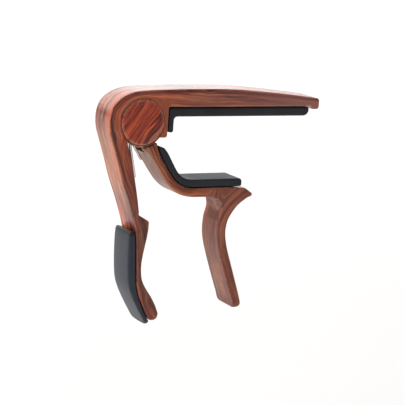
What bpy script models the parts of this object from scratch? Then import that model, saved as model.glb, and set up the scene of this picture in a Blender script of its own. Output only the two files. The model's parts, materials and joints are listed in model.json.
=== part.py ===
"""Trigger-type guitar capo: a frame arm and a lower arm, pivoted together and pushed apart by a spring.

Metres, +Z up. The bar runs along +X, the pivot's axis is along Y. The origin is the centre of the
string pad's pressing face. Side-view points are (x, z) in millimetres from the pivot's centre.
"""

import math

import bmesh
import bpy
from mathutils import Vector

MM = 0.001

# Overall sizes
BODY_WIDTH = 12.5  # both arms, along the pivot
BAR_LENGTH = 70.2  # pivot to the bar's tip
HANDLE_LENGTH = 73.0  # pivot to the rear handle's tip
JAW_LENGTH = 46.0  # pivot to the beak's tip
LEVER_LENGTH = 68.6  # pivot to the trigger's tip

# Pivot, from the outside in
CAP_RADIUS = 7.9
CAP_PROUD = 0.35
CAP_RECESS = 0.8
FORK_WALL = 1.9
LUG_THICKNESS = 1.3
HUB_RADIUS = 6.5
PIN_RADIUS = 2.0
SLEEVE_GAP = 0.5  # to the inside of the spring's coil

# Spring
WIRE_RADIUS = 0.5
COIL_RADIUS = 4.4  # to the wire's centre
COIL_TURNS = 2  # whole turns, before the part turn between the legs
REAR_LEG_END = 20.0  # below the pivot
REAR_LEG_BEND = (-2.9, -6.4)
FRONT_LEG_END = (4.0, -14.45)
SEAT_RIB = 1.0  # height of the rib under the rear leg
SEAT_RIB_SPAN = (12.5, 22.5)  # below the pivot

# Pads and grip
STRING_PAD_DEPTH = 3.2
PAD_LEG = 2.1  # thickness of the pad's leg in front of the column
PAD_LEG_LIFT = 1.7  # the leg's end above the column's foot
PAD_INSET = 0.25  # pads narrower than the arms, each side
GRIP_OVERHANG = 0.1  # grip wider than the arm, each side
GRIP_CROWN = 0.1  # share of its thickness lost towards the sides
GRIP_EDGE = 0.45
LIP_DROP = 1.1  # below the bar, in front of the string pad

# Gaps and edges
CLEARANCE = 0.3
SLOT_GAP = 0.7  # hub to the fork's slot
EDGE_RADIUS = 0.5
PAD_EDGE = 0.45
CAP_EDGE = 0.3
OVERCUT = 2.0
STEP = 1.3  # longest straight piece of a curve
MERGE = 0.12  # outline points closer than this are one
SHARP_ANGLE = 32

# Corner radii in the side view
TIP_ROUND = 1.2
LIP_ROUND = 1.0
LIP_BACK_ROUND = 0.8
LIP_ROOT_ROUND = 0.5
COLUMN_ROUND = 0.8
COLUMN_ROOT_ROUND = 0.6
HANDLE_TIP_ROUND = 2.0
STEP_FOOT_ROUND = 0.9
STEP_TOP_ROUND = 0.6
YOKE_FRONT_ROUND = 0.55
YOKE_BACK_ROUND = 0.7
LEVER_HEEL_ROUND = 1.2
LEVER_TOE_ROUND = 1.7
BEAK_ROUND = 0.7
PAD_ROUND = 0.7
PAD_END_ROUND = 2.2
PAD_LEG_ROUND = 1.2
NECK_PAD_END_ROUND = 1.1
NECK_PAD_ROUND = 0.5
NECK_PAD_START_ROUND = 0.9
TOE_ROUND = 0.8
BROW_ROUND = 0.9
BROW_ROOT_ROUND = 0.65
LEG_ROUND = 1.4

# Derived sizes
HALF_WIDTH = BODY_WIDTH / 2
FORK_INNER = HALF_WIDTH - FORK_WALL
LUG_OUTER = FORK_INNER - CLEARANCE
LUG_INNER = LUG_OUTER - LUG_THICKNESS
RECESS_FLOOR = HALF_WIDTH - CAP_RECESS
RECESS_RADIUS = CAP_RADIUS + CLEARANCE
FORK_RADIUS = RECESS_RADIUS + 0.6
SHOULDER_RADIUS = FORK_RADIUS + CLEARANCE
SLOT_RADIUS = HUB_RADIUS + SLOT_GAP
HOLE_RADIUS = PIN_RADIUS + CLEARANCE
YOKE_RADIUS = SHOULDER_RADIUS + 2.5
COLUMN_X = FORK_RADIUS + 0.9
COLUMN_FOOT = -5.5
BAR_UNDERSIDE = 5.25
BAR_TIP_TOP = 8.1
LIP_LENGTH = 3.6
PAD_TOP = BAR_UNDERSIDE - CLEARANCE
PAD_FACE = PAD_TOP - STRING_PAD_DEPTH
PAD_START = COLUMN_X + CLEARANCE
LIP_X = BAR_LENGTH - LIP_LENGTH
PAD_END = LIP_X - CLEARANCE
PAD_HALF = HALF_WIDTH - PAD_INSET
GRIP_HALF = HALF_WIDTH + GRIP_OVERHANG
SLEEVE_RADIUS = COIL_RADIUS - WIRE_RADIUS - SLEEVE_GAP
PIVOT = Vector((-(PAD_START + PAD_END) / 2, 0.0, -PAD_FACE))

# Top edge of the bar: share of the bar's length, height
BAR_TOP = ((0.947, 8.63), (0.853, 9.35), (0.713, 10.36), (0.514, 11.39), (0.295, 11.55),
           (0.116, 11.31), (-0.003, 10.95))
SHOULDER = ((-4.5, 10.27), (-8.37, 8.54), (-11.51, 5.38), (-12.62, 0.96), (-12.29, -3.24))
# Rear arm: x, share of the handle's length downwards
REAR_OUTER = ((-10.96, 0.101), (-8.74, 0.189), (-6.4, 0.287), (-3.56, 0.385), (-1.55, 0.463), (-0.17, 0.522))
CORE_OUTER = ((0.26, 0.576), (0.67, 0.655), (1.09, 0.739), (1.46, 0.795), (2.48, 0.844), (4.05, 0.892),
              (5.92, 0.944))
CORE_INNER = ((10.52, 0.938), (9.15, 0.894), (7.29, 0.851), (5.24, 0.811), (3.58, 0.769),
              (2.97, 0.725), (2.95, 0.679), (3.57, 0.62), (4.39, 0.56), (4.82, 0.516))
REAR_INNER = ((0.71, 0.433), (-0.19, 0.365), (-1.83, 0.262), (-3.13, 0.193), (-4.1, 0.144))
HANDLE_TIP_X = 9.7
HANDLE_TIP_REACH = 1.0235  # before the tip is rounded
STEP_HEIGHTS = (1.0, 3.4)  # top and foot of the step on the handle's inner side, below the rear arm's end
FORK_LEFT = (-5.3, -7.0)  # where the fork's round meets the rear arm
# Lower arm: x or share of the jaw's length, z or share of the trigger's length
YOKE_BACK = ((2.3, -10.5), (4.24, -12.52), (6.91, -16.27), (9.69, -20.22), (12.45, -23.37), (15.8, -25.7),
             (20.02, -26.77))
YOKE_FRONT = ((20.06, -23.67), (17.04, -22.88), (14.31, -21.13), (11.75, -18.18), (9.18, -14.33), (6.9, -10.27),
              (6.06, -8.09))
JAW_BACK = ((0.529, -26.94), (0.607, -27.07), (0.664, -27.72), (0.705, -28.88))
JAW_FRONT = ((0.889, -24.02), (0.791, -23.76), (0.644, -23.69), (0.527, -23.69))
BEAK_FRONT = ((0.852, -30.85), (0.896, -29.11), (0.944, -27.67))
LEVER_BACK = ((0.721, 0.471), (0.702, 0.527), (0.698, 0.598), (0.711, 0.659), (0.745, 0.734), (0.79, 0.82),
              (0.834, 0.9), (0.86, 0.945))
LEVER_FRONT = ((0.941, 0.954), (0.919, 0.909), (0.883, 0.839), (0.84, 0.758), (0.803, 0.688), (0.78, 0.632),
               (0.77, 0.587), (0.776, 0.541), (0.795, 0.504))
LEVER_END = (0.885, 0.958)
BEAK_TIP = -26.7
BEAK_TOP = (0.92, -24.2)
# Inner face of the pad on the lower arm, start to end of the bend
NECK_PAD_BEND = ((10.81, -11.09), (12.88, -14.56), (15.05, -17.91), (17.59, -20.0), (20.8, -20.6), (24.0, -20.6))
NECK_PAD_FACE = -20.6
NECK_PAD_START = (9.18, -9.18)
NECK_PAD_END = 0.885
# Outside of the grip, x and share of the handle's length downwards
GRIP_SEAT_START = ((0.02, 0.542),)
GRIP_SEAT_END = ((7.5, 0.972),)
GRIP_CORNERS = ((-2.55, 0.521), (-0.75, 0.529), (6.35, 1.014))  # brow, its root, toe
GRIP_OUTER = ((-2.68, 0.545), (-2.87, 0.58), (-2.82, 0.651), (-2.5, 0.73), (-1.9, 0.789), (-0.45, 0.842),
              (1.6, 0.896), (3.4, 0.938), (4.9, 0.972))

WALNUT_RED = (0.24, 0.065, 0.038, 1.0)
RUBBER_BLACK = (0.016, 0.019, 0.023, 1.0)
GRIP_GREY = (0.045, 0.055, 0.065, 1.0)
STEEL = (0.62, 0.62, 0.6, 1.0)


def clear_scene():
    for obj in list(bpy.data.objects):
        bpy.data.objects.remove(obj, do_unlink=True)


def material(name, colour, metallic, roughness):
    made = bpy.data.materials.new(name)
    made.use_nodes = True
    shader = made.node_tree.nodes["Principled BSDF"]
    shader.inputs["Base Color"].default_value = colour
    shader.inputs["Metallic"].default_value = metallic
    shader.inputs["Roughness"].default_value = roughness
    made.diffuse_color = colour
    return made


def along_bar(points):
    return [(x * BAR_LENGTH, z) for x, z in points]


def down_handle(points):
    return [(x, -z * HANDLE_LENGTH) for x, z in points]


def along_jaw(points):
    return [(x * JAW_LENGTH, z) for x, z in points]


def down_lever(points):
    return [(x * JAW_LENGTH, -z * LEVER_LENGTH) for x, z in points]


def smooth(points):
    """A curve through the points, in pieces no longer than STEP."""
    knots = [Vector(p) for p in points]
    ends = [2 * knots[0] - knots[1], *knots, 2 * knots[-1] - knots[-2]]
    made = [knots[0]]
    for before, start, end, after in zip(ends, ends[1:], ends[2:], ends[3:]):
        length = (end - start).length
        count = math.ceil(length / STEP)
        pull_start = (end - before).normalized() * length
        pull_end = (after - start).normalized() * length
        for i in range(1, count + 1):
            t = i / count
            made.append(
                (2 * t**3 - 3 * t**2 + 1) * start
                + (t**3 - 2 * t**2 + t) * pull_start
                + (3 * t**2 - 2 * t**3) * end
                + (t**3 - t**2) * pull_end
            )
    return made


def fillet(before, corner, after, radius, pieces=4):
    """The arc that rounds a corner between two straight runs."""
    start, middle, end = Vector(before), Vector(corner), Vector(after)
    to_start, to_end = (start - middle).normalized(), (end - middle).normalized()
    half = to_start.angle(to_end) / 2
    reach = radius / math.tan(half)
    centre = middle + (to_start + to_end).normalized() * (radius / math.sin(half))
    first, last = middle + to_start * reach - centre, middle + to_end * reach - centre
    return [centre + first.slerp(last, i / pieces).normalized() * radius for i in range(pieces + 1)]


def arc(radius, start, end, pieces):
    """Points round the pivot, from one angle in degrees to another."""
    turns = [math.radians(start + (end - start) * i / pieces) for i in range(pieces + 1)]
    return [Vector((radius * math.cos(a), radius * math.sin(a))) for a in turns]


def tidy(outline):
    """The outline without points that nearly coincide, anticlockwise."""
    kept = []
    for point in outline:
        if not kept or (point - kept[-1]).length > MERGE:
            kept.append(point)
    if (kept[0] - kept[-1]).length <= MERGE:
        kept.pop()
    twice_area = sum(a.x * b.y - b.x * a.y for a, b in zip(kept, kept[1:] + kept[:1]))
    return kept if twice_area > 0 else kept[::-1]


def inward(outline):
    """At each point, the step that moves both neighbouring sides in by one."""
    steps = []
    for before, point, after in zip(outline[-1:] + outline[:-1], outline, outline[1:] + outline[:1]):
        first, second = (point - before).normalized(), (after - point).normalized()
        a, b = Vector((-first.y, first.x)), Vector((-second.y, second.x))
        middle = (a + b).normalized()
        steps.append(middle / max(middle.dot(a), 0.5))
    return steps


def place(x, y, z):
    """A point given from the pivot in millimetres, in the object's frame in metres."""
    return (Vector((x, y, z)) + PIVOT) * MM


def closed_mesh(name, rings, shading):
    """One object from rings of points, each ring closed, with a flat face at both ends."""
    bm = bmesh.new()
    rows = [[bm.verts.new(p) for p in ring] for ring in rings]
    for low, high in zip(rows, rows[1:]):
        for i in range(len(low)):
            j = (i + 1) % len(low)
            bm.faces.new((low[i], low[j], high[j], high[i]))
    bm.faces.new(rows[0][::-1])
    bm.faces.new(rows[-1])
    bmesh.ops.recalc_face_normals(bm, faces=bm.faces)
    if bm.calc_volume(signed=True) < 0:
        bmesh.ops.reverse_faces(bm, faces=bm.faces)
    mesh = bpy.data.meshes.new(name)
    bm.to_mesh(mesh)
    bm.free()
    mesh.materials.append(shading)
    mesh.shade_smooth()
    mesh.set_sharp_from_angle(angle=math.radians(SHARP_ANGLE))
    obj = bpy.data.objects.new(name, mesh)
    bpy.context.scene.collection.objects.link(obj)
    return obj


def edge_sections(half, edge):
    """(y, inset) across a body with both edges rounded."""
    quarter = [(half - edge * (1 - math.sin(a)), edge * (1 - math.cos(a))) for a in
               (math.radians(d) for d in (0, 30, 60, 90))]
    return [(-y, inset) for y, inset in reversed(quarter)] + quarter


def slab(name, outline, sections, shading, bend=None):
    """The side-view outline carried across the width, moved at each y by bend(point, y) if there is one."""
    outline = tidy(outline)
    steps = inward(outline)
    rings = []
    for y, inset in sections:
        ring = []
        for point, step in zip(outline, steps):
            x, z = (bend(point, y) if bend else point) + step * inset
            ring.append(place(x, y, z))
        rings.append(ring)
    return closed_mesh(name, rings, shading)


def plate(name, outline, low, high, shading):
    return slab(name, outline, [(low, 0.0), (high, 0.0)], shading)


def turned(name, profile, shading, sides=48):
    """A solid turned about the pivot's axis from (radius, y) pairs, centre line to centre line."""
    rings = []
    for radius, y in profile:
        ring = []
        for i in range(sides):
            a = 2 * math.pi * i / sides
            ring.append(place(radius * math.cos(a), y, radius * math.sin(a)))
        rings.append(ring)
    return closed_mesh(name, rings, shading)


def combine(obj, tool, operation):
    """Joins the tool to the object or cuts it away, and keeps the tool as a hidden helper."""
    tool.hide_render = True
    tool.display_type = "WIRE"
    tool.hide_set(True)
    step = obj.modifiers.new(tool.name, "BOOLEAN")
    step.operation = operation
    step.solver = "EXACT"
    step.object = tool


def drill(obj, radius, low, high, shading, label):
    cutter = turned(f"{obj.name}_{label}_tool", [(radius, low), (radius, high)], shading)
    combine(obj, cutter, "DIFFERENCE")


def offset_curve(points, distance):
    """The curve moved to its left by the distance."""
    made = []
    for i, point in enumerate(points):
        run = (points[min(i + 1, len(points) - 1)] - points[max(i - 1, 0)]).normalized()
        made.append(point + Vector((-run.y, run.x)) * distance)
    return made


def frame_outline():
    """Bar, shoulder over the pivot, rear arm and handle."""
    top = along_bar(BAR_TOP)
    tip_top = (BAR_LENGTH, BAR_TIP_TOP)
    lip_foot = (BAR_LENGTH, BAR_UNDERSIDE - LIP_DROP)
    lip_back = (LIP_X + 0.8 * LIP_DROP, BAR_UNDERSIDE - LIP_DROP)
    handle_tip = (HANDLE_TIP_X, -HANDLE_TIP_REACH * HANDLE_LENGTH)
    core_outer = down_handle(CORE_OUTER)
    core_inner = down_handle(CORE_INNER)
    inner = down_handle(REAR_INNER)
    step_top = (inner[0][0], inner[0][1] - STEP_HEIGHTS[0])
    step_foot = (core_inner[-1][0], inner[0][1] - STEP_HEIGHTS[1])
    fork_start = math.degrees(math.atan2(FORK_LEFT[1], FORK_LEFT[0])) % 360
    fork_end = 360 + math.degrees(math.asin(COLUMN_FOOT / FORK_RADIUS))
    column_foot = (COLUMN_X, COLUMN_FOOT)
    corner = (COLUMN_X, BAR_UNDERSIDE)
    lip_root = (LIP_X, BAR_UNDERSIDE)
    return (
        fillet(lip_foot, tip_top, top[0], TIP_ROUND)
        + smooth(top + list(SHOULDER) + down_handle(REAR_OUTER) + core_outer)
        + fillet(core_outer[-1], handle_tip, core_inner[0], HANDLE_TIP_ROUND, 7)
        + smooth(core_inner)
        + fillet(core_inner[-1], step_foot, step_top, STEP_FOOT_ROUND)
        + fillet(step_foot, step_top, inner[1], STEP_TOP_ROUND)
        + smooth(inner)
        + arc(FORK_RADIUS, fork_start, fork_end, 16)
        + fillet((0.0, COLUMN_FOOT), column_foot, corner, COLUMN_ROUND)
        + fillet(column_foot, corner, lip_root, COLUMN_ROOT_ROUND)
        + fillet(corner, lip_root, lip_back, LIP_ROOT_ROUND)
        + fillet(lip_root, lip_back, lip_foot, LIP_BACK_ROUND)
        + fillet(lip_back, lip_foot, tip_top, LIP_ROUND)
    )


def frame_arm(shading):
    """One casting with a fork for the lower arm's lugs and a round recess in each side for a cap."""
    body = slab("frame_arm", frame_outline(), edge_sections(HALF_WIDTH, EDGE_RADIUS), shading)
    wall = [p for p in smooth(down_handle(REAR_INNER)) if SEAT_RIB_SPAN[0] < -p.y < SEAT_RIB_SPAN[1]]
    rib = offset_curve(wall, -SEAT_RIB) + offset_curve(wall, 2 * SEAT_RIB)[::-1]
    combine(body, plate("frame_arm_rib_tool", rib, -LUG_INNER, LUG_INNER, shading), "UNION")
    slot = arc(SLOT_RADIUS, -25, 225, 30) + [Vector((-4.4, -9.2)), Vector((0.0, -16.0)), Vector((14.5, -6.8))]
    combine(body, plate("frame_arm_slot_tool", slot, -FORK_INNER, FORK_INNER, shading), "DIFFERENCE")
    drill(body, HOLE_RADIUS, -HALF_WIDTH - OVERCUT, HALF_WIDTH + OVERCUT, shading, "hole")
    drill(body, RECESS_RADIUS, RECESS_FLOOR, HALF_WIDTH + OVERCUT, shading, "far_recess")
    drill(body, RECESS_RADIUS, -HALF_WIDTH - OVERCUT, -RECESS_FLOOR, shading, "near_recess")
    return body


def lower_outline():
    """Yoke below the pivot, jaw under the neck, beak and trigger lever."""
    back = smooth(list(YOKE_BACK) + along_jaw(JAW_BACK) + down_lever(LEVER_BACK))
    front = smooth(down_lever(LEVER_FRONT) + along_jaw(BEAK_FRONT))
    jaw = smooth(along_jaw(JAW_FRONT) + list(YOKE_FRONT))
    lever_tip = (LEVER_END[0] * JAW_LENGTH, -LEVER_LENGTH)
    lever_toe = (LEVER_END[1] * JAW_LENGTH, -LEVER_LENGTH)
    beak_tip = (JAW_LENGTH, BEAK_TIP)
    beak_top = (JAW_LENGTH * BEAK_TOP[0], BEAK_TOP[1])
    shoulder = arc(SHOULDER_RADIUS, -62, -72, 3)
    front_corner = arc(SHOULDER_RADIUS, -47, -62, 1)[0]
    back_corner = arc(SHOULDER_RADIUS, -84.5, -72, 1)[0]
    return (
        fillet(jaw[-1], front_corner, shoulder[0], YOKE_FRONT_ROUND)
        + shoulder
        + fillet(shoulder[-1], back_corner, back[0], YOKE_BACK_ROUND)
        + back
        + fillet(back[-1], lever_tip, lever_toe, LEVER_HEEL_ROUND)
        + fillet(lever_tip, lever_toe, front[0], LEVER_TOE_ROUND)
        + front
        + fillet(front[-1], beak_tip, beak_top, BEAK_ROUND)
        + [Vector(beak_top)]
        + jaw
    )


def lower_arm(shading):
    """One casting: two lugs round the pin, joined below them by the yoke, then jaw and trigger."""
    body = slab("lower_arm", lower_outline(), edge_sections(HALF_WIDTH, EDGE_RADIUS), shading)
    tongue = arc(HUB_RADIUS, -35, 245, 32) + [
        Vector((1.9, -9.6)),
        Vector((4.2, -12.2)),
        Vector((6.6, -11.2)),
        Vector((5.5, -7.9)),
    ]
    combine(body, plate("lower_arm_tongue_tool", tongue, -LUG_OUTER, LUG_OUTER, shading), "UNION")
    drill(body, YOKE_RADIUS, -LUG_INNER, LUG_INNER, shading, "spring_slot")
    drill(body, HOLE_RADIUS, -HALF_WIDTH - OVERCUT, HALF_WIDTH + OVERCUT, shading, "hole")
    return body


def string_pad(shading):
    """Long flat pad under the bar, with a short leg down the column."""
    end_top = (PAD_END, PAD_TOP)
    end_face = (PAD_END, PAD_FACE)
    leg_x = PAD_START + PAD_LEG
    leg_foot = COLUMN_FOOT + PAD_LEG_LIFT
    outline = (
        fillet((PAD_START, leg_foot), (PAD_START, PAD_TOP), end_top, PAD_ROUND)
        + fillet((PAD_START, PAD_TOP), end_top, end_face, PAD_ROUND)
        + fillet(end_top, end_face, (leg_x, PAD_FACE), PAD_END_ROUND, 6)
        + fillet(end_face, (leg_x, PAD_FACE), (leg_x, leg_foot), PAD_LEG_ROUND)
        + fillet((leg_x, PAD_FACE), (leg_x, leg_foot), (PAD_START, leg_foot), PAD_ROUND)
        + fillet((leg_x, leg_foot), (PAD_START, leg_foot), (PAD_START, PAD_TOP), PAD_ROUND)
    )
    return slab("string_pad", outline, edge_sections(PAD_HALF, PAD_EDGE), shading)


def neck_pad(shading):
    """Pad lining the lower arm's inner side, from the pivot round the bend and along the jaw."""
    end_x = NECK_PAD_END * JAW_LENGTH
    lining = smooth(along_jaw(JAW_FRONT[1:]) + list(YOKE_FRONT[:-1]))
    under = offset_curve(lining, -CLEARANCE)
    face = smooth(list(NECK_PAD_BEND) + [(end_x - 8.0, NECK_PAD_FACE)])
    top_end = (end_x, NECK_PAD_FACE)
    foot_end = (end_x, under[0].y)
    start = (6.9, -8.4)
    outline = (
        under
        + fillet(under[-1], start, NECK_PAD_START, NECK_PAD_ROUND)
        + fillet(start, NECK_PAD_START, face[0], NECK_PAD_START_ROUND)
        + face
        + fillet(face[-1], top_end, foot_end, NECK_PAD_END_ROUND)
        + fillet(top_end, foot_end, under[0], NECK_PAD_ROUND)
    )
    return slab("neck_pad", outline, edge_sections(PAD_HALF, PAD_EDGE), shading)


def handle_grip(shading):
    """Soft cover on the outer side of the rear handle, fuller along its middle."""
    under = offset_curve(smooth(down_handle(GRIP_SEAT_START + CORE_OUTER + GRIP_SEAT_END)), -CLEARANCE)
    outer = smooth(down_handle(GRIP_OUTER))
    brow, brow_root, toe = down_handle(GRIP_CORNERS)
    outline = (
        under
        + fillet(under[-1], toe, outer[-1], TOE_ROUND)
        + outer[::-1]
        + fillet(outer[0], brow, brow_root, BROW_ROUND)
        + fillet(brow, brow_root, under[0], BROW_ROOT_ROUND)
    )

    def thinner(point, y):
        seat = min(under, key=lambda p: (p - point).length)
        return point.lerp(seat, GRIP_CROWN * (y / GRIP_HALF) ** 2)

    sections = edge_sections(GRIP_HALF, GRIP_EDGE)
    middle = [(y * GRIP_HALF, 0.0) for y in (-0.7, -0.45, 0.0, 0.45, 0.7)]
    return slab("handle_grip", outline, sections[:4] + middle + sections[4:], shading, thinner)


def pivot_pin(shading):
    reach = RECESS_FLOOR - CLEARANCE
    break_edge = 0.35
    profile = [
        (PIN_RADIUS - break_edge, -reach),
        (PIN_RADIUS, -reach + break_edge),
        (PIN_RADIUS, reach - break_edge),
        (PIN_RADIUS - break_edge, reach),
    ]
    return turned("pivot_pin", profile, shading)


def spacer_sleeve(shading):
    """Tube on the pin that holds the two lugs apart, inside the spring."""
    reach = LUG_INNER - CLEARANCE
    tube = turned("spacer_sleeve", [(SLEEVE_RADIUS, -reach), (SLEEVE_RADIUS, reach)], shading)
    drill(tube, HOLE_RADIUS, -reach - OVERCUT, reach + OVERCUT, shading, "bore")
    return tube


def pivot_cap(name, side, shading):
    """Round cover over one end of the pin. side is -1 on the near side and 1 on the far side."""
    low = RECESS_FLOOR + CLEARANCE
    high = HALF_WIDTH + CAP_PROUD
    profile = [
        (CAP_RADIUS, side * low),
        (CAP_RADIUS, side * (high - CAP_EDGE)),
        (CAP_RADIUS - 0.12, side * (high - 0.09)),
        (CAP_RADIUS - CAP_EDGE, side * high),
    ]
    return turned(name, profile, shading, 64)


def coil_angle(point, side):
    """Angle where a straight leg from this point meets the coil, on its left (1) or right (-1) side."""
    spread = math.acos(COIL_RADIUS / Vector(point).length)
    return math.atan2(point[1], point[0]) - side * spread


def spring_path():
    """The wire's centre line: rear leg, coil turning anticlockwise from in front, front leg."""
    coil_start = coil_angle(REAR_LEG_BEND, -1)
    coil_end = coil_angle(FRONT_LEG_END, 1)
    swept = (coil_end - coil_start) % (2 * math.pi) + 2 * math.pi * COIL_TURNS
    reach = LUG_INNER - CLEARANCE - WIRE_RADIUS
    rear_x = smooth(down_handle(REAR_INNER))
    seat = min(rear_x, key=lambda p: abs(p.y + REAR_LEG_END)).x
    bend = Vector((REAR_LEG_BEND[0], REAR_LEG_BEND[1]))
    foot = Vector((seat + SEAT_RIB + CLEARANCE + WIRE_RADIUS, -REAR_LEG_END))
    first = Vector((COIL_RADIUS * math.cos(coil_start), COIL_RADIUS * math.sin(coil_start)))
    path = [foot] + fillet(foot, bend, first, LEG_ROUND)
    made = [Vector((p.x, -reach, p.y)) for p in path]
    pieces = math.ceil(swept / (2 * math.pi) * 22)
    for i in range(pieces + 1):
        a = coil_start + swept * i / pieces
        y = -reach + 2 * reach * i / pieces
        made.append(Vector((COIL_RADIUS * math.cos(a), y, COIL_RADIUS * math.sin(a))))
    made.append(Vector((FRONT_LEG_END[0], reach, FRONT_LEG_END[1])))
    return made


def torsion_spring(shading):
    path = spring_path()
    runs = [(b - a).normalized() for a, b in zip(path, path[1:])]
    tangents = [runs[0]] + [(a + b).normalized() for a, b in zip(runs, runs[1:])] + [runs[-1]]
    across = Vector((0.0, 1.0, 0.0)).cross(tangents[0]).normalized()
    rings = []
    for point, tangent in zip(path, tangents):
        across = (across - tangent * across.dot(tangent)).normalized()
        other = tangent.cross(across)
        ring = []
        for i in range(10):
            a = 2 * math.pi * i / 10
            offset = (across * math.cos(a) + other * math.sin(a)) * WIRE_RADIUS
            ring.append(place(*(point + offset)))
        rings.append(ring)
    return closed_mesh("torsion_spring", rings, shading)


def pivoted(children):
    """An empty on the joint's axis that carries the pieces turning with the lower arm."""
    axis = bpy.data.objects.new("lower_arm_axis", None)
    axis.location = PIVOT * MM
    bpy.context.scene.collection.objects.link(axis)
    bpy.context.view_layer.update()
    for child in children:
        child.parent = axis
        child.matrix_parent_inverse = axis.matrix_world.inverted()


def main():
    clear_scene()
    frame_arm(material("frame_wood_film", WALNUT_RED, 0.0, 0.35))
    lower = lower_arm(material("lower_wood_film", WALNUT_RED, 0.0, 0.35))
    string_pad(material("string_pad_silicone", RUBBER_BLACK, 0.0, 0.6))
    pad = neck_pad(material("neck_pad_silicone", RUBBER_BLACK, 0.0, 0.6))
    handle_grip(material("grip_rubber", GRIP_GREY, 0.0, 0.7))
    pivot_pin(material("pin_steel", STEEL, 1.0, 0.25))
    spacer_sleeve(material("sleeve_steel", STEEL, 1.0, 0.35))
    torsion_spring(material("spring_wire", STEEL, 1.0, 0.2))
    pivot_cap("pivot_cap_near", -1, material("near_cap_wood_film", WALNUT_RED, 0.0, 0.35))
    pivot_cap("pivot_cap_far", 1, material("far_cap_wood_film", WALNUT_RED, 0.0, 0.35))
    pivoted([lower, pad])


main()
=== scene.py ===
"""Looks of the guitar capo: wood-film castings, moulded rubber pads and grip, and a wound steel spring."""

import json
import math

import bmesh
import bpy
from mathutils import Matrix, Vector, noise


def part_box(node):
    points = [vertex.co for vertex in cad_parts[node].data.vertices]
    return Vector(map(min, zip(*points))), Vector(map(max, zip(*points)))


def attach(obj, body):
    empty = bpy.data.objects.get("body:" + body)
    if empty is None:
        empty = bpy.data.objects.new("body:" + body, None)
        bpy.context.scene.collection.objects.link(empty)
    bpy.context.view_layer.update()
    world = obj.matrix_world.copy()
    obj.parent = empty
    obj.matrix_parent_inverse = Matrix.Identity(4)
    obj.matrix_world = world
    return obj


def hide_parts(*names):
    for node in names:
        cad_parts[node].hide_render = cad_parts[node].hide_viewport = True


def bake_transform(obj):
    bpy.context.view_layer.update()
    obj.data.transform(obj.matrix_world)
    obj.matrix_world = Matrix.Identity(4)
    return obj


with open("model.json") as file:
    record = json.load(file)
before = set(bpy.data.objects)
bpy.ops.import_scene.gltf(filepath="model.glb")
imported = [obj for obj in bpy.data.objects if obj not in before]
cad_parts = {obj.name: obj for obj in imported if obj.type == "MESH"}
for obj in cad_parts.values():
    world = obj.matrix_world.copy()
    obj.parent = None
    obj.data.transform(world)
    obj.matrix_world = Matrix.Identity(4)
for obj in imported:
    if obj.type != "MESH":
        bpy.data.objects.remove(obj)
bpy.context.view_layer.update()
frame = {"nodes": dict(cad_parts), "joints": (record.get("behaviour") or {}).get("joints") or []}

MM = 0.001
CASTING_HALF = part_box("frame_arm")[1].y / MM
PIVOT = Vector(frame["joints"][0]["pos_m"])
SPRING_WIRE = 0.5
SPRING_COIL = 4.4
SPRING_TURNS = 2
SPRING_REACH = 1.95
REAR_LEG_BEND = Vector((-2.9, -6.4))
FRONT_LEG_END = Vector((4.0, -14.45))

# Curves that the wood grain follows, (x, z) in millimetres from the pivot
FRAME_GUIDE = (
    (72.0, 8.1), (60.0, 9.3), (50.0, 10.4), (36.0, 11.4), (20.7, 11.6), (8.0, 11.3), (0.0, 11.0), (-4.5, 10.3),
    (-8.4, 8.5), (-11.5, 5.4), (-12.6, 1.0), (-12.3, -3.2), (-11.0, -7.4), (-8.7, -13.8), (-6.4, -21.0),
    (-3.6, -28.1), (-1.5, -33.8), (-0.2, -38.1), (0.7, -47.8), (1.5, -58.0), (4.0, -65.1), (8.0, -72.0),
)
JAW_GUIDE = (
    (4.0, -4.0), (6.9, -10.3), (9.2, -14.3), (11.8, -18.2), (14.3, -21.1), (17.0, -22.9), (20.1, -23.7),
    (36.4, -23.8), (46.0, -24.0),
)
LEVER_GUIDE = (
    (48.0, -26.0), (43.4, -27.7), (41.2, -29.1), (39.2, -30.9), (36.6, -34.6), (35.7, -37.1), (35.4, -40.3),
    (35.9, -43.4), (36.9, -47.2), (38.6, -52.0), (40.6, -57.6), (43.9, -68.6),
)


# ---------------------------------------------------------------- geometry


def new_object(name, mesh):
    obj = bpy.data.objects.new(name, mesh)
    bpy.context.scene.collection.objects.link(obj)
    return obj


def applied(obj):
    """The object with its modifiers made part of its mesh."""
    graph = bpy.context.evaluated_depsgraph_get()
    mesh = bpy.data.meshes.new_from_object(obj.evaluated_get(graph))
    obj.modifiers.clear()
    obj.data = mesh
    return obj


def welded(node):
    """The CAD node's surface with flat regions as single faces."""
    bm = bmesh.new()
    bm.from_mesh(frame["nodes"][node].data)
    bmesh.ops.remove_doubles(bm, verts=bm.verts, dist=2e-6)
    bmesh.ops.dissolve_limit(bm, angle_limit=math.radians(0.5), verts=bm.verts, edges=bm.edges)
    return bm


def refined(node, name, cell, tip):
    """A copy of a casting with its faces cut into small cells, so that the grain can bend across them."""
    bm = welded(node)
    low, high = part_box(node)
    for axis in (Vector((1, 0, 0)), Vector((0, 0, 1))):
        start, end = low.dot(axis), high.dot(axis)
        count = int((end - start) / cell)
        for i in range(1, count):
            everything = bm.verts[:] + bm.edges[:] + bm.faces[:]
            at = axis * (start + (end - start) * i / count)
            bmesh.ops.bisect_plane(bm, geom=everything, dist=1e-6, plane_co=at, plane_no=axis)
    bmesh.ops.recalc_face_normals(bm, faces=bm.faces)
    mesh = bpy.data.meshes.new(name)
    bm.to_mesh(mesh)
    bm.free()
    round_tip(mesh, low.z, tip)
    mesh.shade_smooth()
    mesh.set_sharp_from_angle(angle=math.radians(38))
    obj = new_object(name, mesh)
    even = obj.modifiers.new("even", "WEIGHTED_NORMAL")
    even.mode = "FACE_AREA"
    even.weight = 60
    even.keep_sharp = True
    return applied(obj)


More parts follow.
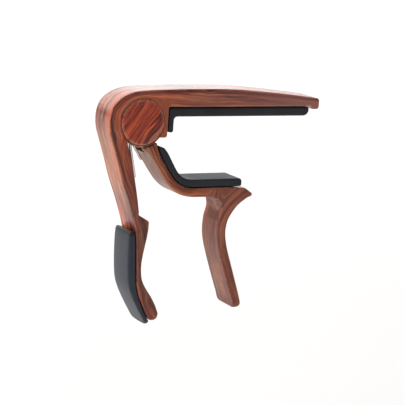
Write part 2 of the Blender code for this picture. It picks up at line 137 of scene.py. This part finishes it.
def round_tip(mesh, lowest, radius):
    """Narrows a limb towards its lowest point, so that its end has round corners when seen from its broad side."""
    half = max(abs(vertex.co.y) for vertex in mesh.vertices)
    for vertex in mesh.vertices:
        rise = (vertex.co.z - lowest) / radius
        if rise < 1.0:
            inset = radius * (1 - math.sqrt(max(1 - (1 - max(rise, 0.02)) ** 2, 0.0)))
            vertex.co.y *= (half - inset) / half


def moulded(node, name, voxel, passes, tip=0.0):
    """A copy of a soft node with its edges rounded as a moulding's are."""
    bm = welded(node)
    mesh = bpy.data.meshes.new(name)
    bm.to_mesh(mesh)
    bm.free()
    obj = new_object(name, mesh)
    grid = obj.modifiers.new("grid", "REMESH")
    grid.mode = "VOXEL"
    grid.voxel_size = voxel * MM
    soft = obj.modifiers.new("soft", "SMOOTH")
    soft.factor = 0.5
    soft.iterations = passes
    applied(obj)
    if tip:
        round_tip(obj.data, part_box(node)[0].z, tip)
    obj.data.shade_smooth()
    return obj


def tube(name, path, radius, sides=16):
    """A round wire along the path, with domed ends."""
    runs = [(b - a).normalized() for a, b in zip(path, path[1:])]
    tangents = [runs[0]] + [(a + b).normalized() for a, b in zip(runs, runs[1:])] + [runs[-1]]
    bm = bmesh.new()
    across = Vector((0.0, 1.0, 0.0)).cross(tangents[0]).normalized()
    rows = []
    caps = [(-radius * 0.35, 0.55), (-radius * 0.2, 0.85)]
    stations = [(path[0] + tangents[0] * -d, tangents[0], k) for d, k in ((-c[0], c[1]) for c in caps)]
    stations += [(p, t, 1.0) for p, t in zip(path, tangents)]
    stations += [(path[-1] + tangents[-1] * -c, tangents[-1], k) for c, k in reversed(caps)]
    for point, tangent, share in stations:
        across = (across - tangent * across.dot(tangent)).normalized()
        other = tangent.cross(across)
        row = []
        for i in range(sides):
            a = 2 * math.pi * i / sides
            row.append(bm.verts.new(point + (across * math.cos(a) + other * math.sin(a)) * radius * share))
        rows.append(row)
    for first, second in zip(rows, rows[1:]):
        for i in range(sides):
            j = (i + 1) % sides
            bm.faces.new((first[i], first[j], second[j], second[i]))
    bm.faces.new(rows[0][::-1])
    bm.faces.new(rows[-1])
    bmesh.ops.recalc_face_normals(bm, faces=bm.faces)
    mesh = bpy.data.meshes.new(name)
    bm.to_mesh(mesh)
    bm.free()
    mesh.shade_smooth()
    return new_object(name, mesh)


def lathe(name, profile, sides=128):
    """A solid turned about the pivot's axis from (radius, y) pairs in millimetres, first and last on flat ends."""
    bm = bmesh.new()
    rows = []
    for radius, y in profile:
        row = []
        for i in range(sides):
            a = 2 * math.pi * i / sides
            row.append(bm.verts.new(PIVOT + Vector((radius * math.cos(a), y, radius * math.sin(a))) * MM))
        rows.append(row)
    for first, second in zip(rows, rows[1:]):
        for i in range(sides):
            j = (i + 1) % sides
            bm.faces.new((first[i], first[j], second[j], second[i]))
    bm.faces.new(rows[0][::-1])
    bm.faces.new(rows[-1])
    bmesh.ops.recalc_face_normals(bm, faces=bm.faces)
    mesh = bpy.data.meshes.new(name)
    bm.to_mesh(mesh)
    bm.free()
    mesh.shade_smooth()
    mesh.set_sharp_from_angle(angle=math.radians(40))
    return new_object(name, mesh)


# ---------------------------------------------------------------- grain


def along(guide, point):
    """How far along the guide the nearest place is, and how far to its right the point lies."""
    best = None
    run = 0.0
    for a, b in zip(guide, guide[1:]):
        start, step = Vector(a), Vector(b) - Vector(a)
        share = min(max((point - start).dot(step) / step.length_squared, 0.0), 1.0)
        away = point - (start + step * share)
        if best is None or away.length < best[0]:
            side = step.normalized()
            best = (away.length, run + share * step.length, away.dot(Vector((-side.y, side.x))))
        run += step.length
    return best[1], best[2]


def smoothstep(low, high, value):
    t = min(max((value - low) / (high - low), 0.0), 1.0)
    return t * t * (3 - 2 * t)


def frame_grain(x, z):
    """Along the outer edge and round the pivot, so the lines bend from the bar into the rear arm."""
    s, t = along(FRAME_GUIDE, Vector((x, z)))
    radius = math.hypot(x, z)
    blend = (1.0 - smoothstep(8.5, 12.5, radius)) * smoothstep(-14.0, -2.0, z) * smoothstep(0.6, 4.0, t)
    ring = 12.0 - radius
    return s, t * (1 - blend) + ring * blend


def lower_grain(x, z):
    """Along the jaw, then bending down the lever and out into the beak."""
    jaw_s, jaw_t = along(JAW_GUIDE, Vector((x, z)))
    lever_s, lever_t = along(LEVER_GUIDE, Vector((x, z)))
    blend = max(smoothstep(27.0, 35.0, x), smoothstep(27.3, 29.5, -z))
    s = jaw_s * (1 - blend) + (lever_s + 42.0) * blend
    t = (-jaw_t) * (1 - blend) + (4.5 - lever_t) * blend
    return s, t


def slanted_grain(angle):
    across, up = math.cos(math.radians(angle)), math.sin(math.radians(angle))
    return lambda x, z: (x * across + z * up, z * across - x * up)


def long_edges(x, y, z):
    """How much a point of a casting is on the rounded edge of its sides, where the film is paled partly as wear and
    partly as a painted highlight.
    """
    depth = CASTING_HALF - abs(y)
    return 0.6 * smoothstep(0.0, 0.06, depth) * (1 - smoothstep(0.3, 0.5, depth))


def add_grain(obj, follow, wear_and_highlight):
    """Stores where each point is along, across and through the grain, and how much its film is paled at the edge,
    partly as wear and partly as a painted highlight.
    """
    mesh = obj.data
    mesh.attributes.new("grain", "FLOAT_VECTOR", "POINT")
    mesh.attributes.new("edge", "FLOAT", "POINT")
    grain, edge = mesh.attributes["grain"], mesh.attributes["edge"]
    for i, vertex in enumerate(mesh.vertices):
        x, y, z = (vertex.co - PIVOT) / MM
        s, t = follow(x, z)
        grain.data[i].vector = (s, t, y)
        edge.data[i].value = wear_and_highlight(x, y, z)


# ---------------------------------------------------------------- materials


class Tree:
    """Short ways to add and wire shader nodes."""

    def __init__(self, name):
        self.material = bpy.data.materials.new(name)
        self.material.use_nodes = True
        self.nodes = self.material.node_tree.nodes
        self.links = self.material.node_tree.links
        self.shader = self.nodes["Principled BSDF"]

    def add(self, kind, settings=(), **inputs):
        node = self.nodes.new(kind)
        for key, value in dict(settings).items():
            setattr(node, key, value)
        for key, value in inputs.items():
            self.put(node.inputs[key.replace("_", " ")], value)
        return node

    def put(self, socket, value):
        if isinstance(value, bpy.types.NodeSocket):
            self.links.new(value, socket)
        else:
            socket.default_value = value

    def maths(self, operation, *values):
        node = self.nodes.new("ShaderNodeMath")
        node.operation = operation
        for socket, value in zip(node.inputs, values):
            self.put(socket, value)
        return node.outputs[0]

    def vector(self, x, y, z):
        return self.add("ShaderNodeCombineXYZ", X=x, Y=y, Z=z).outputs[0]

    def noise(self, at, scale, detail=3.0, roughness=0.5, distortion=0.0):
        node = self.add("ShaderNodeTexNoise", Vector=at, Scale=scale, Detail=detail, Roughness=roughness,
                        Distortion=distortion)
        return node.outputs["Fac"]

    def ramp(self, value, stops):
        node = self.add("ShaderNodeValToRGB", Fac=value)
        points = node.color_ramp.elements
        while len(points) < len(stops):
            points.new(0.5)
        for point, (place, colour) in zip(points, stops):
            point.position = place
            point.color = (*colour, 1.0)
        return node.outputs["Color"]

    def mix(self, factor, first, second, blend="MIX"):
        node = self.nodes.new("ShaderNodeMix")
        node.data_type = "RGBA"
        node.blend_type = blend
        self.put(node.inputs[0], factor)
        for socket, value in ((node.inputs[6], first), (node.inputs[7], second)):
            self.put(socket, (*value, 1.0) if isinstance(value, tuple) and len(value) == 3 else value)
        return node.outputs[2]

    def span(self, value, low, high, to_low, to_high):
        node = self.nodes.new("ShaderNodeMapRange")
        for socket, given in zip(node.inputs, (value, low, high, to_low, to_high)):
            self.put(socket, given)
        return node.outputs[0]

    def bump(self, height, strength, distance):
        node = self.add("ShaderNodeBump", Height=height, Strength=strength, Distance=distance)
        self.put(self.shader.inputs["Normal"], node.outputs[0])

    def surface(self, **inputs):
        for key, value in inputs.items():
            self.put(self.shader.inputs[key.replace("_", " ")], value)
        return self.material


def wood_film(name, seed, warm=0.5, fine=1.0, gloss=1.0, tone=None):
    """Printed rosewood film under a satin coat: dark and orange streaks along the grain, paler at edges, partly where
    the film thins and partly as a painted highlight on the rounded edges.
    """
    tree = Tree(name)
    grain = tree.add("ShaderNodeAttribute", {"attribute_name": "grain"}).outputs["Vector"]
    parts = tree.add("ShaderNodeSeparateXYZ", Vector=grain)
    s, t, y = parts.outputs[0], parts.outputs[1], parts.outputs[2]
    s = tree.maths("ADD", s, seed * 37.0)

    def at(along, across, through):
        return tree.vector(tree.maths("MULTIPLY", s, along), tree.maths("MULTIPLY", across[0], across[1]),
                           tree.maths("MULTIPLY", through[0], through[1]))

    sway = tree.maths("SUBTRACT", tree.noise(at(0.05 * fine, (t, 0.08 * fine), (y, 0.08 * fine)), 1.0, 2.0, 0.5), 0.5)
    bent = tree.maths("MULTIPLY_ADD", sway, 5.0 / fine, t)
    bent_y = tree.maths("MULTIPLY_ADD", sway, 3.0 / fine, y)
    streaks = tree.noise(at(0.028 * fine, (bent, 0.75 * fine), (bent_y, 0.6 * fine)), 1.0, 4.0, 0.62, 0.1)
    lines = tree.noise(at(0.08 * fine, (bent, 3.4), (bent_y, 3.0)), 1.0, 3.0, 0.6)
    patch = tree.noise(at(0.05, (t, 0.12), (y, 0.1)), 1.0, 1.0, 0.5)
    wood = tree.ramp(streaks, (
        (0.37, (0.042, 0.013, 0.011)),
        (0.44, (0.135, 0.032, 0.022)),
        (0.50, (0.275, 0.070, 0.038)),
        (0.56, (0.400, 0.118, 0.062)),
        (0.64, (0.560, 0.200, 0.105)),
    ))
    glow = tree.span(patch, 0.42, 0.62, 0.0, warm)
    wood = tree.mix(glow, wood, (0.95, 0.26, 0.07), "SOFT_LIGHT")
    vein = tree.span(lines, 0.36, 0.62, 0.62, 1.15)
    wood = tree.mix(1.0, wood, tree.vector(vein, vein, vein), "MULTIPLY")
    if tone:
        wood = tone(tree, wood, parts.outputs[0], t, y)
    # The edge attribute pales edges toward light tan: partly worn film, partly a painted highlight on the rounded
    # edges.
    edge = tree.add("ShaderNodeAttribute", {"attribute_name": "edge"}).outputs["Fac"]
    scuff_and_highlight = tree.span(tree.noise(grain, 0.8, 3.0), 0.4, 0.62, 0.1, 0.45)
    wood = tree.mix(tree.maths("MULTIPLY", edge, scuff_and_highlight), wood, (0.62, 0.30, 0.20))
    tree.bump(lines, 0.18, 0.00003)
    return tree.surface(
        Base_Color=wood,
        Roughness=tree.span(lines, 0.3, 0.7, 0.4, 0.3),
        Specular_IOR_Level=0.3 * gloss,
        Coat_Weight=0.45 * gloss,
        Coat_Roughness=0.19,
        Coat_IOR=1.38,
    )


def frame_tone(tree, wood, s, t, y):
    """Paler at the bar's tip, orange by the pivot and dark under the outer edge; the rear arm's outer face is
    lightened as painted light, and a painted highlight runs along the bar's inner edge.
    """
    tip = tree.span(s, 14.0, 48.0, 0.55, 0.0)
    wood = tree.mix(tip, wood, (0.50, 0.20, 0.165))
    orange = tree.maths("MULTIPLY", tree.span(s, 50.0, 62.0, 0.0, 0.4), tree.span(s, 72.0, 88.0, 1.0, 0.0))
    orange = tree.maths("MULTIPLY", orange, tree.span(t, 1.2, 3.0, 0.0, 1.0))
    wood = tree.mix(orange, wood, (0.58, 0.14, 0.045))
    down = tree.maths("MULTIPLY", tree.span(s, 100.0, 116.0, 0.0, 0.45), tree.span(t, 0.9, 1.6, 0.0, 1.0))
    wood = tree.mix(down, wood, (0.10, 0.032, 0.014))
    # Painted light: the rear arm's outer face, which faces the lamps, is lightened toward tan.
    painted_light_outer_face = tree.maths("MULTIPLY", tree.span(s, 90.0, 100.0, 0.0, 0.35), tree.span(t, 0.1, 0.5, 1.0, 0.0))
    painted_light_outer_face = tree.maths("MULTIPLY", painted_light_outer_face, tree.span(s, 112.0, 128.0, 1.0, 0.0))
    wood = tree.mix(painted_light_outer_face, wood, (0.66, 0.25, 0.10))
    rim = tree.maths("MULTIPLY", tree.span(t, 0.35, 0.7, 0.0, 1.0), tree.span(t, 0.9, 1.9, 0.55, 0.0))
    wood = tree.mix(rim, wood, (0.07, 0.02, 0.016))
    # Painted highlight: a lighter band along the bar's inner edge, next to the pad.
    painted_highlight_band = tree.maths("MULTIPLY", tree.span(t, 3.6, 5.2, 0.0, 0.4), tree.span(s, 50.0, 64.0, 1.0, 0.0))
    return tree.mix(painted_highlight_band, wood, (0.42, 0.13, 0.075))


def lower_tone(tree, wood, s, t, y):
    """The film is browner towards the beak and down the trigger, and dark at the trigger's tip; the yoke's back face
    is lightened as painted light.
    """
    wood = tree.mix(tree.span(s, 14.0, 44.0, 0.1, 0.45), wood, (0.27, 0.125, 0.09))
    # Painted light: the yoke's back face and the edge beside it, lit from the left, are lightened toward tan.
    back = tree.maths("MULTIPLY", tree.span(t, 2.4, 3.2, 0.0, 0.4), tree.span(s, 30.0, 44.0, 1.0, 0.0))
    wood = tree.mix(back, wood, (0.60, 0.29, 0.15))
    return tree.mix(tree.span(s, 84.0, 93.0, 0.0, 0.6), wood, (0.085, 0.035, 0.028))


def rubber(name, dark, light, rough, bump_scale, sheen, painted_shade_above=None):
    """Moulded rubber: a fine pebbled skin, faint dust, a softer shine where it is handled, and painted shade darkening
    it above a given height.
    """
    tree = Tree(name)
    at = tree.add("ShaderNodeTexCoord").outputs["Object"]
    pebble = tree.noise(at, bump_scale, 4.0, 0.6)
    cloud = tree.noise(at, 120.0, 3.0, 0.55)
    tint = tree.mix(tree.span(cloud, 0.35, 0.65, 0.0, 1.0), dark, light)
    speck = tree.span(pebble, 0.35, 0.65, 0.88, 1.1)
    tint = tree.mix(1.0, tint, tree.vector(speck, speck, speck), "MULTIPLY")
    if painted_shade_above is not None:
        # Painted shade: the rubber darkens to near black over 1.2 mm above the given height.
        height = tree.add("ShaderNodeSeparateXYZ", Vector=at).outputs[2]
        tint = tree.mix(tree.span(height, painted_shade_above, painted_shade_above + 1.2 * MM, 0.0, 0.8), tint, (0.008, 0.008, 0.008))
    tree.bump(pebble, 0.35, 0.00005)
    return tree.surface(
        Base_Color=tint,
        Roughness=tree.span(cloud, 0.35, 0.65, rough, rough + 0.1),
        Sheen_Weight=sheen,
        Sheen_Roughness=0.4,
        Specular_IOR_Level=0.3,
    )


def steel(name, axis_scale, rough, tint):
    """Bright steel with fine drawn or turned lines."""
    tree = Tree(name)
    at = tree.add("ShaderNodeTexCoord").outputs["Object"]
    parts = tree.add("ShaderNodeSeparateXYZ", Vector=at)
    lines = tree.noise(tree.vector(
        tree.maths("MULTIPLY", parts.outputs[0], axis_scale[0]),
        tree.maths("MULTIPLY", parts.outputs[1], axis_scale[1]),
        tree.maths("MULTIPLY", parts.outputs[2], axis_scale[2]),
    ), 1.0, 3.0, 0.6)
    shade = tree.span(lines, 0.3, 0.7, 0.86, 1.05)
    colour = tree.mix(1.0, tint, tree.vector(shade, shade, shade), "MULTIPLY")
    tree.bump(lines, 0.15, 0.00002)
    return tree.surface(Base_Color=colour, Metallic=1.0, Roughness=tree.span(lines, 0.3, 0.7, rough, rough + 0.12))


def dress(obj, material):
    obj.data.materials.clear()
    obj.data.materials.append(material)


# ---------------------------------------------------------------- pieces


def castings():
    rear = refined("frame_arm", "frame_casting", 1.1 * MM, 0.9 * MM)
    add_grain(rear, frame_grain, long_edges)
    dress(rear, wood_film("frame_film", 1.0, 0.42, tone=frame_tone))
    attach(rear, "frame")
    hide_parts("frame_arm")
    lower = refined("lower_arm", "lower_casting", 1.1 * MM, 2.1 * MM)
    add_grain(lower, lower_grain, long_edges)
    dress(lower, wood_film("lower_film", 2.0, 0.3, gloss=0.45, tone=lower_tone))
    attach(lower, "lower")
    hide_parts("lower_arm")


def caps():
    for node, name, seed in (("pivot_cap_near", "near_cover", 3.0), ("pivot_cap_far", "far_cover", 4.0)):
        low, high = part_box(node)
        radius = (high.x - low.x) / 2 / MM + 0.17
        outer = max(abs(low.y), abs(high.y)) / MM
        inner = min(abs(low.y), abs(high.y)) / MM
        side = 1 if low.y > 0 else -1
        round_edge = []
        for i in range(7):
            a = math.radians(15 * i)
            round_edge.append((radius - 0.6 * (1 - math.cos(a)), side * (outer - 0.07 - 0.5 * (1 - math.sin(a)))))
        crown = [(radius * k, side * (outer - 0.07 * k**4)) for k in (0.93, 0.85, 0.7, 0.5, 0.25, 0.02)]
        cap = lathe(name, [(radius - 0.2, side * inner), (radius, side * (inner + 0.2))] + round_edge + crown)
        # The cover's rounded rim is paled strongly: mostly a painted highlight of the rim catching the light, broken
        # up by scuff noise.
        add_grain(cap, slanted_grain(54), lambda x, y, z: 1.6 * smoothstep(radius - 0.75, radius - 0.3, math.hypot(x, z)))
        dress(cap, wood_film(name + "_film", seed, 0.85, 1.5))
        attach(cap, "frame")
        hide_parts(node)


def soft_parts():
    pad = moulded("string_pad", "string_cushion", 0.32, 5)
    dress(pad, rubber("pad_rubber", (0.016, 0.018, 0.024), (0.026, 0.028, 0.036), 0.55, 1800.0, 0.1))
    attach(pad, "frame")
    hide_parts("string_pad")
    neck = moulded("neck_pad", "neck_cushion", 0.3, 5)
    dress(neck, rubber("neck_rubber", (0.018, 0.021, 0.026), (0.03, 0.034, 0.041), 0.6, 1800.0, 0.05))
    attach(neck, "lower")
    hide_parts("neck_pad")
    grip = moulded("handle_grip", "grip_cover", 0.28, 16, 2.4 * MM)
    # The grip's top end gets painted shade where it meets the metal arm.
    dress(grip, rubber("grip_rubber_skin", (0.026, 0.033, 0.05), (0.038, 0.047, 0.07), 0.5, 1500.0, 0.2,
                       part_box("handle_grip")[1].z - 2.2 * MM))
    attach(grip, "frame")
    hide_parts("handle_grip")


def coil_angle(point, side):
    return math.atan2(point.y, point.x) - side * math.acos(SPRING_COIL / point.length)


def rounded(before, corner, after, radius, pieces=6):
    to_start, to_end = (before - corner).normalized(), (after - corner).normalized()
    half = to_start.angle(to_end) / 2
    centre = corner + (to_start + to_end).normalized() * (radius / math.sin(half))
    first = corner + to_start * (radius / math.tan(half)) - centre
    last = corner + to_end * (radius / math.tan(half)) - centre
    return [centre + first.slerp(last, i / pieces).normalized() * radius for i in range(pieces + 1)]


def spring():
    """The torsion spring: a wire coiled round the pivot between the two arms, with a leg reaching to each."""
    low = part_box("torsion_spring")[0]
    foot_points = [v.co for v in frame["nodes"]["torsion_spring"].data.vertices if v.co.z < low.z + 0.0002]
    middle = sum(foot_points, Vector()) / len(foot_points) - PIVOT
    foot = Vector((middle.x / MM, low.z / MM - PIVOT.z / MM + 0.1))
    start, end = coil_angle(REAR_LEG_BEND, -1), coil_angle(FRONT_LEG_END, 1)
    swept = (end - start) % (2 * math.pi) + 2 * math.pi * SPRING_TURNS
    first = Vector((math.cos(start), math.sin(start))) * SPRING_COIL
    flat = [foot, foot.lerp(REAR_LEG_BEND, 0.5)] + rounded(foot, REAR_LEG_BEND, first, 1.4)
    path = [Vector((p.x, -SPRING_REACH, p.y)) for p in flat]
    pieces = 150
    for i in range(pieces + 1):
        a = start + swept * i / pieces
        y = SPRING_REACH * (2 * smoothstep(-0.05, 1.05, i / pieces) - 1)
        path.append(Vector((SPRING_COIL * math.cos(a), y, SPRING_COIL * math.sin(a))))
    path.append(Vector((FRONT_LEG_END.x, SPRING_REACH, FRONT_LEG_END.y)))
    wire = tube("wound_spring", [PIVOT + p * MM for p in path], SPRING_WIRE * MM)
    dress(wire, steel("spring_steel", (900.0, 500.0, 900.0), 0.16, (0.78, 0.78, 0.77)))
    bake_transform(wire)
    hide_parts("torsion_spring")


def hardware():
    for node, scale in (("pivot_pin", (2500.0, 9000.0, 2500.0)), ("spacer_sleeve", (1500.0, 12000.0, 1500.0))):
        obj = frame["nodes"][node]
        made = steel(node + "_steel", scale, 0.25, (0.66, 0.66, 0.65))
        for slot in obj.material_slots:
            slot.material = made


# ---------------------------------------------------------------- room


def area(name, at, towards, width, height, power, colour=(1.0, 1.0, 1.0)):
    lamp = bpy.data.lights.new(name, "AREA")
    lamp.shape = "RECTANGLE"
    lamp.size, lamp.size_y = width, height
    lamp.energy = power
    lamp.color = colour
    obj = new_object(name, lamp)
    obj.location = at
    obj.rotation_euler = (Vector(towards) - Vector(at)).to_track_quat("-Z", "Y").to_euler()


def room():
    middle = Vector((-0.01, 0.0, -0.03))
    bm = bmesh.new()
    corners = [bm.verts.new((x, y, -0.13)) for x, y in ((-9, -9), (9, -9), (9, 9), (-9, 9))]
    bm.faces.new(corners)
    mesh = bpy.data.meshes.new("floor")
    bm.to_mesh(mesh)
    bm.free()
    floor = new_object("floor", mesh)
    tree = Tree("floor_paper")
    at = tree.add("ShaderNodeTexCoord").outputs["Object"]
    shade = tree.span(tree.noise(at, 2.0, 2.0), 0.3, 0.7, 0.86, 0.9)
    dress(floor, tree.surface(Base_Color=tree.vector(shade, shade, shade), Roughness=0.9, Specular_IOR_Level=0.1))
    world = bpy.data.worlds.new("studio")
    bpy.context.scene.world = world
    world.use_nodes = True
    background = world.node_tree.nodes["Background"]
    background.inputs["Color"].default_value = (1.0, 1.0, 1.0, 1.0)
    background.inputs["Strength"].default_value = 0.22
    area("overhead", (0.0, 0.6, 2.0), middle, 3.0, 3.0, 44.0)
    area("left_panel", (-1.2, 0.1, 0.35), middle, 1.1, 1.0, 8.0, (1.0, 0.84, 0.7))
    area("back_panel", (0.4, 2.3, 1.05), middle, 4.5, 1.9, 52.0)
    scene = bpy.context.scene
    scene.view_settings.view_transform = "Standard"


def camera():
    """The view of the reference, as an azimuth, an elevation and a small roll."""
    azimuth, elevation, roll = math.radians(-28.198), math.radians(11.282), math.radians(3.99)
    target = Vector((-9.644, 0.0, -32.008)) * MM
    back = Vector((math.sin(azimuth) * math.cos(elevation), -math.cos(azimuth) * math.cos(elevation),
                   math.sin(elevation)))
    right = Vector((math.cos(azimuth), math.sin(azimuth), 0.0))
    up = back.cross(right)
    turned_right = right * math.cos(roll) + up * math.sin(roll)
    turned_up = up * math.cos(roll) - right * math.sin(roll)
    lens = bpy.data.cameras.new("camera")
    lens.lens = 149.33
    lens.sensor_width = 36.0
    obj = new_object("camera", lens)
    place = Matrix((turned_right, turned_up, back)).transposed().to_4x4()
    place.translation = target + back * 0.6
    obj.matrix_world = place
    bpy.context.scene.camera = obj


camera()
room()
castings()
caps()
soft_parts()
spring()
hardware()
